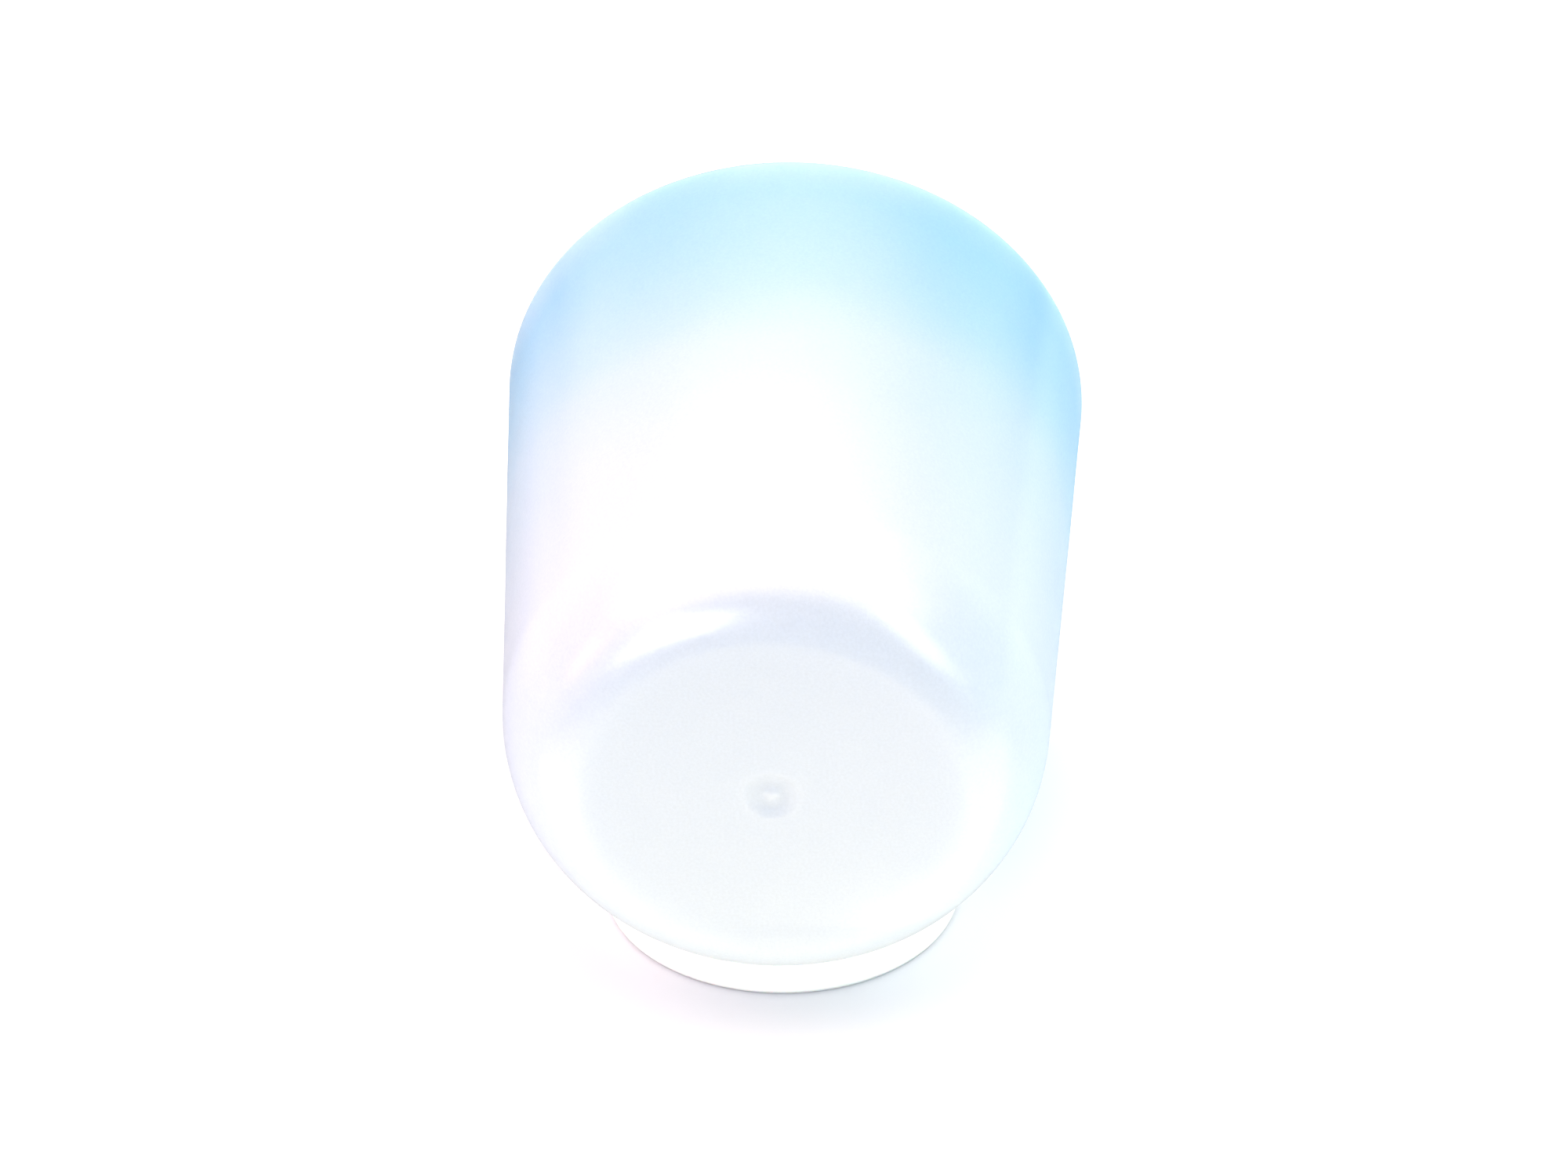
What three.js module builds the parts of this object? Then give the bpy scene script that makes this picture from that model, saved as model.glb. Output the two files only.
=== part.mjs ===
// Short closed-end guitar slide in frosted glass, lying on its side on a low rest ring.
// Units are millimetres.  +Z is up.  The closed end faces -Y and the open mouth faces +Y.
import * as THREE from 'three';

// ---- driving dimensions: glass slide ----
const MOUTH_RADIUS = 14.5;        // outside of the tube at the open end
const SHOULDER_RADIUS = 13.2;     // outside of the tube where the end rounding starts
const FLAT_RADIUS = 8.9;          // flat of the closed end
const LENGTH = 32.8;              // closed end to mouth
const SHOULDER_LENGTH = 5.8;      // how far the end rounding runs up the wall
const BORE_MOUTH_RADIUS = 11.3;   // finger bore at the open end
const BORE_DEEP_RADIUS = 10.2;    // finger bore where its bottom rounding starts
const END_THICKNESS = 4.0;        // glass behind the closed end
const BORE_CORNER = 4.0;          // rounding at the bottom of the bore
const LIP_RADIUS = 0.5;           // fire-polished edges of the mouth
const GATHER_RADIUS = 1.4;        // shallow mark in the middle of the closed end
const GATHER_DEPTH = 0.22;
const NUB_RADIUS = 0.6;           // small raised point inside that mark
const NUB_TOP = 0.06;             // it stops this far below the flat
const ROUND_STEPS = 64;

// ---- driving dimensions: rest ring ----
const RING_OUTER_RADIUS = 8.8;
const RING_INNER_RADIUS = 5.4;
const RING_HEIGHT = 2.7;
const RING_CORNER = 0.25;
const RING_STEPS = 56;

// ---- how the two sit together ----
const SEAT_GAP = 0.3;             // clearance drawn between glass and ring
const RING_TO_END = 14.3;         // ring centre, measured in from the closed end
const WALL_TAPER = Math.atan2(MOUTH_RADIUS - SHOULDER_RADIUS, LENGTH - SHOULDER_LENGTH);

// Points on a quarter ellipse round (r, s), from angle a0 to a1 in degrees.
function arc(r, s, radial, axial, a0, a1, steps) {
  const points = [];
  for (let i = 0; i <= steps; i += 1) {
    const a = THREE.MathUtils.degToRad(a0 + ((a1 - a0) * i) / steps);
    points.push(new THREE.Vector2(r + radial * Math.cos(a), s + axial * Math.sin(a)));
  }
  return points;
}

function material(color, roughness) {
  return new THREE.MeshStandardMaterial({ color, roughness, metalness: 0 });
}

function mesh(name, geometry, look) {
  const piece = new THREE.Mesh(geometry, look);
  piece.name = name;
  return piece;
}

// One blown piece of glass: closed end, wall, rolled mouth and finger bore.
function slideProfile() {
  const mark = [
    new THREE.Vector2(0, NUB_TOP),
    new THREE.Vector2(NUB_RADIUS * 0.6, NUB_TOP * 1.4),
    new THREE.Vector2(NUB_RADIUS, GATHER_DEPTH * 0.9),
    new THREE.Vector2(NUB_RADIUS + 0.25, GATHER_DEPTH),
    new THREE.Vector2(GATHER_RADIUS, 0),
  ];
  const shoulder = arc(FLAT_RADIUS, SHOULDER_LENGTH, SHOULDER_RADIUS - FLAT_RADIUS,
    SHOULDER_LENGTH, -90, 0, 8);
  const outerLip = arc(MOUTH_RADIUS - LIP_RADIUS, LENGTH - LIP_RADIUS,
    LIP_RADIUS, LIP_RADIUS, 0, 90, 3);
  const innerLip = arc(BORE_MOUTH_RADIUS + LIP_RADIUS, LENGTH - LIP_RADIUS,
    LIP_RADIUS, LIP_RADIUS, 90, 180, 3);
  const boreCorner = arc(BORE_DEEP_RADIUS - BORE_CORNER, END_THICKNESS + BORE_CORNER,
    BORE_CORNER, BORE_CORNER, 0, -90, 5);
  const boreMiddle = new THREE.Vector2(0, END_THICKNESS);
  return [...mark, ...shoulder, ...outerLip, ...innerLip, ...boreCorner, boreMiddle];
}

// The tube is turned about its own axis, then tipped so that its lowest line is level.
function slideBody() {
  const geometry = new THREE.LatheGeometry(slideProfile(), ROUND_STEPS);
  geometry.rotateX(WALL_TAPER);
  const lowest = LENGTH * Math.sin(WALL_TAPER) - MOUTH_RADIUS * Math.cos(WALL_TAPER);
  geometry.translate(0, -RING_TO_END, RING_HEIGHT + SEAT_GAP - lowest);
  return mesh('slide_body', geometry, material('#dfeefc', 0.45));
}

// A low ring of soft white rubber with eased edges.
function restRing() {
  const outer = RING_OUTER_RADIUS - RING_CORNER;
  const inner = RING_INNER_RADIUS + RING_CORNER;
  const top = RING_HEIGHT - RING_CORNER;
  const profile = [
    ...arc(outer, RING_CORNER, RING_CORNER, RING_CORNER, -90, 0, 3),
    ...arc(outer, top, RING_CORNER, RING_CORNER, 0, 90, 3),
    ...arc(inner, top, RING_CORNER, RING_CORNER, 90, 180, 3),
    ...arc(inner, RING_CORNER, RING_CORNER, RING_CORNER, 180, 270, 3),
  ];
  profile.push(profile[0].clone());
  const geometry = new THREE.LatheGeometry(profile, RING_STEPS);
  geometry.rotateX(Math.PI / 2);
  return mesh('rest_ring', geometry, material('#f4f1ea', 0.6));
}

// The origin is the middle of the footprint, on the table.
function standOnOrigin(pieces) {
  const box = new THREE.Box3();
  for (const piece of pieces) {
    box.expandByObject(piece);
  }
  const middle = box.getCenter(new THREE.Vector3());
  for (const piece of pieces) {
    piece.geometry.translate(-middle.x, -middle.y, -box.min.z);
  }
}

const pieces = [restRing(), slideBody()];
standOnOrigin(pieces);

const slide = new THREE.Group();
slide.name = 'guitar_slide';
slide.add(...pieces);

export default slide;
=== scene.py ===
import math

import bmesh
import bpy
from mathutils import Matrix, Vector, noise


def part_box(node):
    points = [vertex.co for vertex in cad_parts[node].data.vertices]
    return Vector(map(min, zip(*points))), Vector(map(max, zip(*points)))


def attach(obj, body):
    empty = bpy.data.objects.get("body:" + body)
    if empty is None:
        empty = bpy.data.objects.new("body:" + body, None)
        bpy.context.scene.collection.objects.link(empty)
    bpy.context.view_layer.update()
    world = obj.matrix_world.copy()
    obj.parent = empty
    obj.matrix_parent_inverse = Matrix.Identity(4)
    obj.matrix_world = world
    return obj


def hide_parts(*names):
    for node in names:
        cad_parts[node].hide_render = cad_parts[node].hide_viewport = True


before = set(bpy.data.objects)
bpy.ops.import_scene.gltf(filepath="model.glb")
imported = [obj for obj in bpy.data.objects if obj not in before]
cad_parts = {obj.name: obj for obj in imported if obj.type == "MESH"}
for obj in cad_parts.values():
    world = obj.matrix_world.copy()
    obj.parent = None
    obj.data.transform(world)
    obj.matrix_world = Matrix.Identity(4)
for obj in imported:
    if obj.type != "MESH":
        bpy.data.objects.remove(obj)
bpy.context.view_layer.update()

MM = 0.001

# ---- driving dimensions of the glass, in millimetres ----
MOUTH_RADIUS = 14.5
SHOULDER_RADIUS = 13.2
FLAT_RADIUS = 8.9
LENGTH = 32.8
SHOULDER_LENGTH = 5.8
BORE_MOUTH_RADIUS = 11.3
BORE_DEEP_RADIUS = 10.2
END_THICKNESS = 4.0
BORE_CORNER = 4.0
LIP_RADIUS = 0.5
MARK_RADIUS = 1.4
MARK_DEPTH = 0.22
NUB_RADIUS = 0.6
NUB_FULLNESS = 0.85
NUB_FALLOFF = 1.6
BOWL_ROUNDNESS = 0.6
RIPPLE_REACH = 4.2
RIPPLE_HEIGHT = 0.012
RIPPLE_PITCH = 0.7
WAVE_HEIGHT = 0.02
WAVES_PER_METRE = 110.0
WAVE_OFFSET = 0.4
SEAT_GAP = 0.3
RING_TO_END = 14.3
GLASS_STEPS = 256
WALL_SLOPE = (MOUTH_RADIUS - SHOULDER_RADIUS) / (LENGTH - SHOULDER_LENGTH)
WALL_TAPER = math.atan(WALL_SLOPE)

# ---- driving dimensions of the ring, in millimetres ----
RING_BORE_RADIUS = 5.4
RING_CORNER = 0.25
RING_STEPS = 192

# ---- where the ring lies, from the frame ----
ring_low, ring_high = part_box("rest_ring")
RING_CENTRE = Vector(((ring_low.x + ring_high.x) / 2, (ring_low.y + ring_high.y) / 2, ring_low.z))
RING_OUTER_RADIUS = (ring_high.x - ring_low.x) / 2 / MM
RING_HEIGHT = (ring_high.z - ring_low.z) / MM

# ---- camera, as the object is seen in the photograph, in degrees, metres and millimetres of lens ----
CAMERA_AZIMUTH = 2.04
CAMERA_ELEVATION = 34.05
CAMERA_DISTANCE = 0.4311
CAMERA_LENS = 198.0
CAMERA_RIGHT = 0.00007
CAMERA_UP = 0.01509
SENSOR_WIDTH = 36.0
CLIP_START = 0.01
CLIP_END = 20.0

# ---- glass ----
GLASS_WHITE = (0.52, 0.60, 0.705)
GLASS_TINT = (0.48, 0.83, 1.0)
GLASS_DEPTH = 0.003
GLASS_IOR = 1.6
GLASS_SPECULAR = 0.9
GLASS_ROUGHNESS = (0.23, 0.255)
GRAIN_SPECKLE = (0.97, 1.03)
TINT_DRIFT = 0.0010

# place along the slide, from the closed end to the mouth, and how much of the tint is there
TINT_STOPS = (
    (0.28, 0.0),
    (0.58, 0.25),
    (0.73, 0.66),
    (0.88, 1.06),
    (0.94, 1.0),
    (1.0, 0.6),
)

# noise scales, in features per metre
TINT_DRIFT_SCALE = 90.0
POLISH_SCALE = 300.0
GRAIN_SCALE = 7000.0
MOTTLE_SCALE = 900.0
RUBBER_GRAIN_SCALE = 3500.0

# ---- rubber ----
RUBBER_DARK = (0.84, 0.835, 0.82)
RUBBER_LIGHT = (0.87, 0.865, 0.85)

# ---- studio: a white bench in a bright, softly lit room, in metres ----
BENCH_HALF = 3.0
BENCH_COLOUR = (0.77, 0.805, 0.85)
SOFTBOX_DISTANCE = 0.5
AIM = Vector((0, 0, 0.015))
GLOW_HEIGHT = 0.0002
BACKDROP = (1.0, 1.0, 1.0)

# name, axis of the direction, where its light starts and is full, brightness in red, green and blue
ROOM_SIDES = (
    ("ceiling", "Z", 0.35, 0.95, (2.5, 2.0, 1.6)),
    ("back_wall", "Y", 0.10, 0.95, (0.8, 0.85, 0.9)),
    ("left_wall", "X", -0.20, -0.95, (1.15, 0.8, 0.9)),
    ("right_wall", "X", 0.20, 0.95, (0.5, 0.85, 0.95)),
)
FRONT_GAP = (-0.70, -0.56)
HORIZON = (-0.5, 0.15)

# name, azimuth and elevation in degrees, size in metres, brightness, colour
SOFTBOXES = (
    ("key_high", -29, 19, (0.26, 0.18), 4.4, (1.0, 1.0, 1.0)),
    ("key_low", -29, 6, (0.26, 0.09), 4.2, (1.0, 1.0, 1.0)),
    ("left_high", -70, 42, (0.3, 0.3), 0.9, (1.0, 0.88, 0.92)),
    ("left_pink", -72, 8, (0.07, 0.14), 3.6, (1.0, 0.45, 0.8)),
    ("right_front", 52, 22, (0.14, 0.28), 3.6, (1.0, 0.97, 1.0)),
    ("right_high", 70, 48, (0.3, 0.3), 0.9, (1.0, 0.9, 0.85)),
)

# name, x and y range in metres, brightness, colour
BENCH_GLOWS = (
    ("glow_front", (-0.04, 0.06), (-0.052, -0.0165), 0.95, (1.0, 0.82, 0.4)),
    ("glow_under", (-0.014, 0.014), (-0.0165, 0.03), 0.55, (1.0, 0.95, 0.83)),
    ("glow_card", (0.004, 0.040), (-0.045, -0.0165), 1.6, (1.0, 0.9, 0.65)),
    ("glow_left", (-0.2, -0.014), (-0.04, 0.1), 0.53, (1.0, 0.93, 0.95)),
    ("glow_right", (0.014, 0.2), (-0.04, 0.1), 0.77, (0.82, 0.96, 1.0)),
)


# ---------------------------------------------------------------- shapes

def arc(r, s, radial, axial, start, end, steps):
    """Points on a quarter ellipse round (r, s), angles in degrees."""
    points = []
    for i in range(steps + 1):
        a = math.radians(start + (end - start) * i / steps)
        points.append((r + radial * math.cos(a), s + axial * math.sin(a)))
    return points


def line(first, last, steps):
    """Points between two points, ends left out."""
    return [
        (first[0] + (last[0] - first[0]) * i / steps, first[1] + (last[1] - first[1]) * i / steps)
        for i in range(1, steps)
    ]


def end_depth(r):
    """How far the closed end lies below its own flat, at radius r."""
    if r < MARK_RADIUS:
        nub = NUB_FULLNESS * math.exp(-((r / NUB_RADIUS) ** 2) * NUB_FALLOFF)
        bowl = 0.5 + 0.5 * math.cos(math.pi * r / MARK_RADIUS)
        return MARK_DEPTH * bowl ** BOWL_ROUNDNESS * (1 - nub)
    fade = max(0.0, 1 - (r - MARK_RADIUS) / (RIPPLE_REACH - MARK_RADIUS))
    return RIPPLE_HEIGHT * fade * (1 - math.cos(2 * math.pi * (r - MARK_RADIUS) / RIPPLE_PITCH)) / 2


def closed_end(steps=110):
    """The flat, with its sunken mark and faint turning rings."""
    radii = [FLAT_RADIUS * (i / steps) ** 1.3 for i in range(steps)]
    return [(r, end_depth(r)) for r in radii]


def shoulder(steps=40):
    """The end rounding: level at the flat, and in line with the wall where it meets it."""
    points = []
    for i in range(steps + 1):
        t = math.pi / 2 * i / steps
        sweep = SHOULDER_RADIUS - FLAT_RADIUS - WALL_SLOPE * SHOULDER_LENGTH * math.cos(t)
        points.append((FLAT_RADIUS + math.sin(t) * sweep, SHOULDER_LENGTH * (1 - math.cos(t))))
    return points


def glass_profile():
    """(radius, distance from the closed end), from the middle outside to the middle inside."""
    outside = closed_end() + shoulder()
    lip_height = LENGTH - LIP_RADIUS
    outer_lip = arc(MOUTH_RADIUS - LIP_RADIUS, lip_height, LIP_RADIUS, LIP_RADIUS, 0, 90, 10)
    inner_lip = arc(BORE_MOUTH_RADIUS + LIP_RADIUS, lip_height, LIP_RADIUS, LIP_RADIUS, 90, 180, 10)
    bore_end = arc(
        BORE_DEEP_RADIUS - BORE_CORNER, END_THICKNESS + BORE_CORNER, BORE_CORNER, BORE_CORNER, 0, -90, 20
    )
    points = outside + line(outside[-1], outer_lip[0], 40)
    points += outer_lip + line(outer_lip[-1], inner_lip[0], 4)
    points += inner_lip + line(inner_lip[-1], bore_end[0], 30)
    points += bore_end + line(bore_end[-1], (0, END_THICKNESS), 8)
    return points + [(0, END_THICKNESS)]


def ring_profile():
    """A closed section: a low band with eased edges."""
    outer = RING_OUTER_RADIUS - RING_CORNER
    inner = RING_BORE_RADIUS + RING_CORNER
    top = RING_HEIGHT - RING_CORNER
    points = arc(outer, RING_CORNER, RING_CORNER, RING_CORNER, -90, 0, 10)
    points += arc(outer, top, RING_CORNER, RING_CORNER, 0, 90, 10)
    points += arc(inner, top, RING_CORNER, RING_CORNER, 90, 180, 10)
    points += arc(inner, RING_CORNER, RING_CORNER, RING_CORNER, 180, 270, 10)
    return points


def revolve(name, profile, steps, closed):
    """Turns a profile of (radius, height) in millimetres about local Z.

    Points on the axis are shared, and a closed profile joins its last point to its first.
    """
    mesh = bpy.data.meshes.new(name)
    bm = bmesh.new()
    rows = []
    for r, s in profile:
        if r < 1e-6:
            rows.append([bm.verts.new((0, 0, s * MM))])
            continue
        row = []
        for i in range(steps):
            a = 2 * math.pi * i / steps
            row.append(bm.verts.new((r * MM * math.sin(a), -r * MM * math.cos(a), s * MM)))
        rows.append(row)
    pairs = list(zip(rows, rows[1:] + ([rows[0]] if closed else [])))
    for low, high in pairs:
        for i in range(steps):
            j = (i + 1) % steps
            corners = [low[i % len(low)], low[j % len(low)], high[j % len(high)], high[i % len(high)]]
            bm.faces.new(list(dict.fromkeys(corners)))
    bmesh.ops.recalc_face_normals(bm, faces=bm.faces[:])
    for face in bm.faces:
        face.smooth = True
    bm.to_mesh(mesh)
    bm.free()
    piece = bpy.data.objects.new(name, mesh)
    bpy.context.scene.collection.objects.link(piece)
    return piece


def add_blown_waves(piece):
    """Blown glass is never quite round: the wall wanders by a few hundredths of a millimetre."""
    for vertex in piece.data.vertices:
        radius = math.hypot(vertex.co.x, vertex.co.y)
        if radius < FLAT_RADIUS * MM:
            continue
        wave = noise.noise(vertex.co * WAVES_PER_METRE) - WAVE_OFFSET
        amount = WAVE_HEIGHT * MM * wave
        vertex.co.x -= vertex.co.x / radius * abs(amount)
        vertex.co.y -= vertex.co.y / radius * abs(amount)


# ---------------------------------------------------------------- materials

class Nodes:
    """A small helper that adds nodes and joins them by socket name."""

    def __init__(self, name):
        self.material = bpy.data.materials.new(name)
        self.material.use_nodes = True
        self.tree = self.material.node_tree
        self.shader = self.tree.nodes["Principled BSDF"]

    def add(self, kind, **values):
        node = self.tree.nodes.new(kind)
        for key, value in values.items():
            setattr(node, key, value)
        return node

    def join(self, source, output, target, socket):
        self.tree.links.new(source.outputs[output], target.inputs[socket])

    def noise(self, coordinates, scale, detail=3.0, roughness=0.5):
        node = self.add("ShaderNodeTexNoise")
        node.inputs["Scale"].default_value = scale
        node.inputs["Detail"].default_value = detail
        node.inputs["Roughness"].default_value = roughness
        self.join(coordinates, "Object", node, "Vector")
        return node

    def map_range(self, source, output, low, high, to_low, to_high):
        node = self.add("ShaderNodeMapRange")
        node.inputs["From Min"].default_value = low
        node.inputs["From Max"].default_value = high
        node.inputs["To Min"].default_value = to_low
        node.inputs["To Max"].default_value = to_high
        self.join(source, output, node, "Value")
        return node

    def spread(self, noise_node, to_low, to_high):
        """Spreads the middle of a noise texture over a range."""
        return self.map_range(noise_node, "Fac", 0.3, 0.7, to_low, to_high)

    def bump(self, noise_node, strength, distance):
        """Bumps the shader's surface by a noise texture, distance in metres."""
        node = self.add("ShaderNodeBump")
        node.inputs["Strength"].default_value = strength
        node.inputs["Distance"].default_value = distance
        self.join(noise_node, "Fac", node, "Height")
        self.join(node, "Normal", self.shader, "Normal")

    def set(self, **values):
        for key, value in values.items():
            self.shader.inputs[key.replace("_", " ")].default_value = value


def frosted_glass():
    """Satin glass, bluish white at the closed end, with a blue tint that fades in towards the mouth."""
    n = Nodes("frosted_glass")
    where = n.add("ShaderNodeTexCoord")
    axes = n.add("ShaderNodeSeparateXYZ")
    n.join(where, "Object", axes, "Vector")

    drift = n.spread(n.noise(where, TINT_DRIFT_SCALE, 2.0), -TINT_DRIFT, TINT_DRIFT)
    height = n.add("ShaderNodeMath", operation="ADD")
    n.join(axes, "Z", height, 0)
    n.join(drift, "Result", height, 1)
    along = n.map_range(height, "Value", 0.0, LENGTH * MM, 0.0, 1.0)

    tint = n.add("ShaderNodeValToRGB")
    ramp = tint.color_ramp
    ramp.interpolation = "B_SPLINE"
    ramp.elements[0].position = TINT_STOPS[0][0]
    ramp.elements[1].position = TINT_STOPS[-1][0]
    for position, _ in TINT_STOPS[1:-1]:
        ramp.elements.new(position)
    for element, (_, amount) in zip(ramp.elements, TINT_STOPS):
        element.color = (*[w * t ** amount for w, t in zip(GLASS_WHITE, GLASS_TINT)], 1)
    n.join(along, "Result", tint, "Fac")

    grain = n.noise(where, GRAIN_SCALE, 2.0, 0.6)
    speckle = n.spread(grain, *GRAIN_SPECKLE)
    colour = n.add("ShaderNodeMix", data_type="RGBA", blend_type="MULTIPLY")
    colour.inputs["Factor"].default_value = 1.0
    n.tree.links.new(tint.outputs["Color"], colour.inputs[6])
    n.tree.links.new(speckle.outputs["Result"], colour.inputs[7])
    n.tree.links.new(colour.outputs[2], n.shader.inputs["Base Color"])

    polish = n.spread(n.noise(where, POLISH_SCALE, 3.0), *GLASS_ROUGHNESS)
    n.join(polish, "Result", n.shader, "Roughness")
    n.bump(grain, 0.25, 0.00002)
    n.set(IOR=GLASS_IOR, Specular_IOR_Level=GLASS_SPECULAR)
    n.set(Subsurface_Weight=1.0, Subsurface_Scale=GLASS_DEPTH)
    n.shader.inputs["Subsurface Radius"].default_value = (1.0, 1.0, 1.0)
    return n.material


def white_rubber():
    """Soft off-white silicone with a faint mottle."""
    n = Nodes("white_rubber")
    where = n.add("ShaderNodeTexCoord")
    mottle = n.spread(n.noise(where, MOTTLE_SCALE, 4.0), 0.0, 1.0)
    colour = n.add("ShaderNodeMix", data_type="RGBA")
    colour.inputs[6].default_value = (*RUBBER_DARK, 1)
    colour.inputs[7].default_value = (*RUBBER_LIGHT, 1)
    n.tree.links.new(mottle.outputs["Result"], colour.inputs["Factor"])
    n.tree.links.new(colour.outputs[2], n.shader.inputs["Base Color"])
    n.bump(n.noise(where, RUBBER_GRAIN_SCALE, 3.0), 0.2, 0.00003)
    n.set(Roughness=0.55, Subsurface_Weight=0.3, Subsurface_Scale=0.001)
    return n.material


# ---------------------------------------------------------------- pieces

def make_glass():
    piece = revolve("frosted_slide", glass_profile(), GLASS_STEPS, closed=False)
    add_blown_waves(piece)
    lowest = LENGTH * math.sin(WALL_TAPER) - MOUTH_RADIUS * math.cos(WALL_TAPER)
    end_y = RING_CENTRE.y - RING_TO_END * MM
    end_z = RING_CENTRE.z + (RING_HEIGHT + SEAT_GAP - lowest) * MM
    tip = Matrix.Rotation(WALL_TAPER - math.pi / 2, 4, "X")
    piece.matrix_world = Matrix.Translation((RING_CENTRE.x, end_y, end_z)) @ tip
    piece.data.materials.append(frosted_glass())
    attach(piece, "slide")
    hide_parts("slide_body")
    return piece


def make_ring():
    piece = revolve("soft_rest_ring", ring_profile(), RING_STEPS, closed=True)
    piece.location = RING_CENTRE
    piece.data.materials.append(white_rubber())
    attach(piece, "ring")
    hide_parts("rest_ring")
    return piece


# ---------------------------------------------------------------- studio

def white_bench():
    n = Nodes("white_bench")
    n.set(Base_Color=(*BENCH_COLOUR, 1), Roughness=0.6, Specular_IOR_Level=0.2)
    return n.material


def make_floor():
    mesh = bpy.data.meshes.new("studio_floor")
    half = BENCH_HALF
    mesh.from_pydata(
        [(-half, -half, 0), (half, -half, 0), (half, half, 0), (-half, half, 0)], [], [(0, 1, 2, 3)]
    )
    floor = bpy.data.objects.new("studio_floor", mesh)
    bpy.context.scene.collection.objects.link(floor)
    mesh.materials.append(white_bench())
    floor.visible_glossy = False


def make_light(name, size, radiance, colour):
    """An area light of the given brightness, unseen by the camera and facing down until it is turned."""
    data = bpy.data.lights.new(name, "AREA")
    data.shape = "RECTANGLE"
    data.size, data.size_y = size
    data.energy = math.pi * size[0] * size[1] * radiance
    data.color = colour
    light = bpy.data.objects.new(name, data)
    light.visible_camera = False
    bpy.context.scene.collection.objects.link(light)
    return light


def bench_glow(name, x, y, radiance, colour):
    """Light sent back up by the bright bench close to the object."""
    light = make_light(name, (x[1] - x[0], y[1] - y[0]), radiance, colour)
    light.location = ((x[0] + x[1]) / 2, (y[0] + y[1]) / 2, GLOW_HEIGHT)
    light.rotation_euler = (math.pi, 0, 0)


def softbox(name, azimuth, elevation, size, radiance, colour):
    """A softbox aimed at the object.  Azimuth 0 is in front of the closed end, 90 is at its right."""
    light = make_light(name, size, radiance, colour)
    a, e = math.radians(azimuth), math.radians(elevation)
    back = Vector((math.sin(a) * math.cos(e), -math.cos(a) * math.cos(e), math.sin(e)))
    light.location = AIM + back * SOFTBOX_DISTANCE
    light.rotation_mode = "QUATERNION"
    light.rotation_quaternion = back.to_track_quat("Z", "Y")


def make_world():
    """A room whose ceiling and walls glow softly and fade into each other, open and dark in front.

    The camera itself sees an even white backdrop.
    """
    world = bpy.data.worlds.new("studio")
    bpy.context.scene.world = world
    world.use_nodes = True
    tree = world.node_tree
    where = tree.nodes.new("ShaderNodeTexCoord")
    axes = tree.nodes.new("ShaderNodeSeparateXYZ")
    tree.links.new(where.outputs["Generated"], axes.inputs["Vector"])

    def step(axis, low, high):
        node = tree.nodes.new("ShaderNodeMapRange")
        node.interpolation_type = "SMOOTHSTEP"
        node.inputs["From Min"].default_value = low
        node.inputs["From Max"].default_value = high
        tree.links.new(axes.outputs[axis], node.inputs["Value"])
        return node.outputs["Result"]

    def combine(operation, first, second):
        node = tree.nodes.new("ShaderNodeVectorMath")
        node.operation = operation
        for socket, source in zip(node.inputs, (first, second)):
            if isinstance(source, tuple):
                socket.default_value = source
            else:
                tree.links.new(source, socket)
        return node

    total = (0.0, 0.0, 0.0)
    for name, axis, low, high, brightness in ROOM_SIDES:
        side = combine("MULTIPLY", step(axis, low, high), brightness)
        side.label = name
        total = combine("ADD", total, side.outputs["Vector"]).outputs["Vector"]
    above_bench = combine("MULTIPLY", total, step("Z", *HORIZON)).outputs["Vector"]
    lit = combine("MULTIPLY", above_bench, step("Y", *FRONT_GAP)).outputs["Vector"]

    seen = tree.nodes.new("ShaderNodeLightPath")
    choose = tree.nodes.new("ShaderNodeMix")
    choose.data_type = "VECTOR"
    tree.links.new(seen.outputs["Is Camera Ray"], choose.inputs[0])
    tree.links.new(lit, choose.inputs[4])
    choose.inputs[5].default_value = BACKDROP
    tree.links.new(choose.outputs[1], tree.nodes["Background"].inputs["Color"])


def light_studio():
    for values in SOFTBOXES:
        softbox(*values)
    for values in BENCH_GLOWS:
        bench_glow(*values)


def make_camera():
    data = bpy.data.cameras.new("camera")
    data.lens = CAMERA_LENS
    data.sensor_width = SENSOR_WIDTH
    data.clip_start = CLIP_START
    data.clip_end = CLIP_END
    camera = bpy.data.objects.new("camera", data)
    bpy.context.scene.collection.objects.link(camera)
    a, e = math.radians(CAMERA_AZIMUTH), math.radians(CAMERA_ELEVATION)
    back = Vector((math.sin(a) * math.cos(e), -math.cos(a) * math.cos(e), math.sin(e)))
    right = Vector((math.cos(a), math.sin(a), 0))
    up = back.cross(right)
    target = RING_CENTRE + right * CAMERA_RIGHT + up * CAMERA_UP
    camera.location = target + back * CAMERA_DISTANCE
    camera.rotation_mode = "QUATERNION"
    camera.rotation_quaternion = back.to_track_quat("Z", "Y")
    bpy.context.scene.camera = camera


make_camera()
make_glass()
make_ring()
make_floor()
make_world()
light_studio()
bpy.context.scene.view_settings.view_transform = "Standard"
